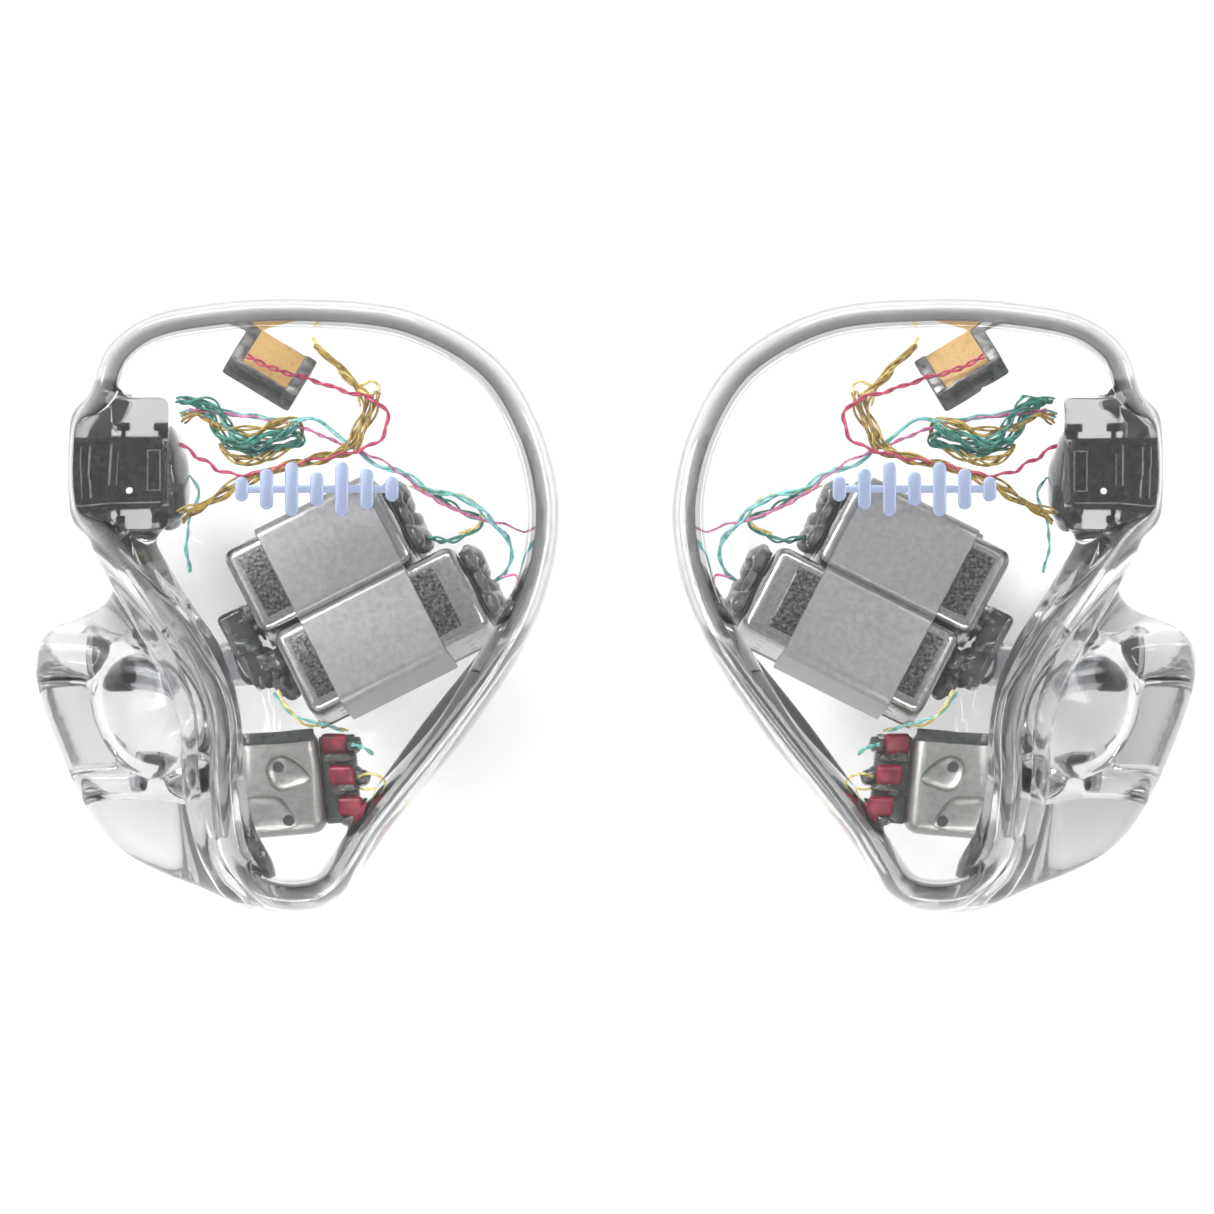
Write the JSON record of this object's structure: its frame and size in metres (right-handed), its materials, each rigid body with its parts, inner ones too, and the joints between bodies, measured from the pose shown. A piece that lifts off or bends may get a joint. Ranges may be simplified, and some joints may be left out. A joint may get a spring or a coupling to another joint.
{
  "type": "in-ear monitors",
  "caption": "Pair of clear custom-moulded in-ear monitors: hollow shells with canals, faceplates, cable sockets, balanced-armature drivers, crossover parts, wiring and sound tubes.",
  "frame": {"origin": "middle of the base that the pair lies on, halfway between the two monitors", "axes": "+X runs from the left monitor to the right one, +Y towards the top of the ears, +Z out of the faceplates, away from the ear canals"},
  "size_m": [0.0518, 0.0272, 0.0153],
  "materials": {
    "acrylic": "clear polished acrylic",
    "emblem": "brushed pale blue metal",
    "socket": "glossy black moulding",
    "contact": "gold-plated",
    "ceramic": "tan ceramic, tinned ends",
    "tubing": "clear soft tubing",
    "damper": "coloured woven disc in a metal cup",
    "can": "drawn nickel-plated steel",
    "strap": "matte satin sheet",
    "magnet": "ground magnet alloy",
    "reed": "bright rolled alloy",
    "board": "dark laminate with solder",
    "gold_wire": "enamelled twisted strands",
    "red_wire": "enamelled twisted strands",
    "green_wire": "enamelled twisted strands",
    "teal_wire": "enamelled twisted strands"
  },
  "bodies": {
    "left_monitor": {"left_shell": "acrylic", "left_faceplate": "acrylic", "left_emblem": "emblem", "left_socket_collar": "acrylic", "left_socket_body": "socket", "left_socket_sleeve_a": "contact", "left_socket_sleeve_b": "contact", "left_low_tube": "tubing", "left_high_tube": "tubing", "left_low_damper": "damper", "left_capacitor": "ceramic", "left_woofer_a_case": "can", "left_woofer_a_motor": "magnet", "left_woofer_a_terminals": "board", "left_woofer_a_lid": "can", "left_woofer_b_case": "can", "left_woofer_b_motor": "magnet", "left_woofer_b_terminals": "board", "left_woofer_b_lid": "can", "left_driver_strap": "strap", "left_tweeter_case": "can", "left_tweeter_motor": "magnet", "left_tweeter_terminals": "board", "left_wire_gold": "gold_wire", "left_wire_red": "red_wire", "left_wire_green": "green_wire", "left_wire_teal": "teal_wire"},
    "left_woofer_a_armature": {"left_woofer_a_armature": "reed"},
    "left_woofer_b_armature": {"left_woofer_b_armature": "reed"},
    "left_tweeter_armature": {"left_tweeter_armature": "reed"},
    "right_monitor": {"right_shell": "acrylic", "right_faceplate": "acrylic", "right_emblem": "emblem", "right_socket_collar": "acrylic", "right_socket_body": "socket", "right_socket_sleeve_a": "contact", "right_socket_sleeve_b": "contact", "right_low_tube": "tubing", "right_high_tube": "tubing", "right_low_damper": "damper", "right_capacitor": "ceramic", "right_woofer_a_case": "can", "right_woofer_a_motor": "magnet", "right_woofer_a_terminals": "board", "right_woofer_a_lid": "can", "right_woofer_b_case": "can", "right_woofer_b_motor": "magnet", "right_woofer_b_terminals": "board", "right_woofer_b_lid": "can", "right_driver_strap": "strap", "right_tweeter_case": "can", "right_tweeter_motor": "magnet", "right_tweeter_terminals": "board", "right_wire_gold": "gold_wire", "right_wire_red": "red_wire", "right_wire_green": "green_wire", "right_wire_teal": "teal_wire"},
    "right_woofer_a_armature": {"right_woofer_a_armature": "reed"},
    "right_woofer_b_armature": {"right_woofer_b_armature": "reed"},
    "right_tweeter_armature": {"right_tweeter_armature": "reed"}
  },
  "joints": [
    {"name": "earpieces_apart", "type": "slide", "parent": "left_monitor", "child": "right_monitor", "axis": [1, 0, 0], "range_m": [0, 0.05]},
    {"name": "left_woofer_a_flex", "type": "hinge", "parent": "left_monitor", "child": "left_woofer_a_armature", "pos_m": [-0.00993, 0.00341, 0.00801], "axis": [-0.0553, 0.1086, 0.9925], "range_deg": [-0.2, 0.2], "stiffness_Nm_per_rad": 0.01},
    {"name": "left_woofer_b_flex", "type": "hinge", "parent": "left_monitor", "child": "left_woofer_b_armature", "pos_m": [-0.00657, 0.00045, 0.00852], "axis": [-0.0553, 0.1086, 0.9925], "range_deg": [-0.2, 0.2], "stiffness_Nm_per_rad": 0.01},
    {"name": "left_tweeter_flex", "type": "hinge", "parent": "left_monitor", "child": "left_tweeter_armature", "pos_m": [-0.01339, -0.00781, 0.0084], "axis": [0, 0, 1], "range_deg": [-0.2, 0.2], "stiffness_Nm_per_rad": 0.01},
    {"name": "right_woofer_a_flex", "type": "hinge", "parent": "right_monitor", "child": "right_woofer_a_armature", "pos_m": [0.00993, 0.00341, 0.00801], "axis": [0.0553, 0.1086, 0.9925], "range_deg": [-0.2, 0.2], "stiffness_Nm_per_rad": 0.01},
    {"name": "right_woofer_b_flex", "type": "hinge", "parent": "right_monitor", "child": "right_woofer_b_armature", "pos_m": [0.00657, 0.00045, 0.00852], "axis": [0.0553, 0.1086, 0.9925], "range_deg": [-0.2, 0.2], "stiffness_Nm_per_rad": 0.01},
    {"name": "right_tweeter_flex", "type": "hinge", "parent": "right_monitor", "child": "right_tweeter_armature", "pos_m": [0.01339, -0.00781, 0.0084], "axis": [0, 0, 1], "range_deg": [-0.2, 0.2], "stiffness_Nm_per_rad": 0.01}
  ]
}
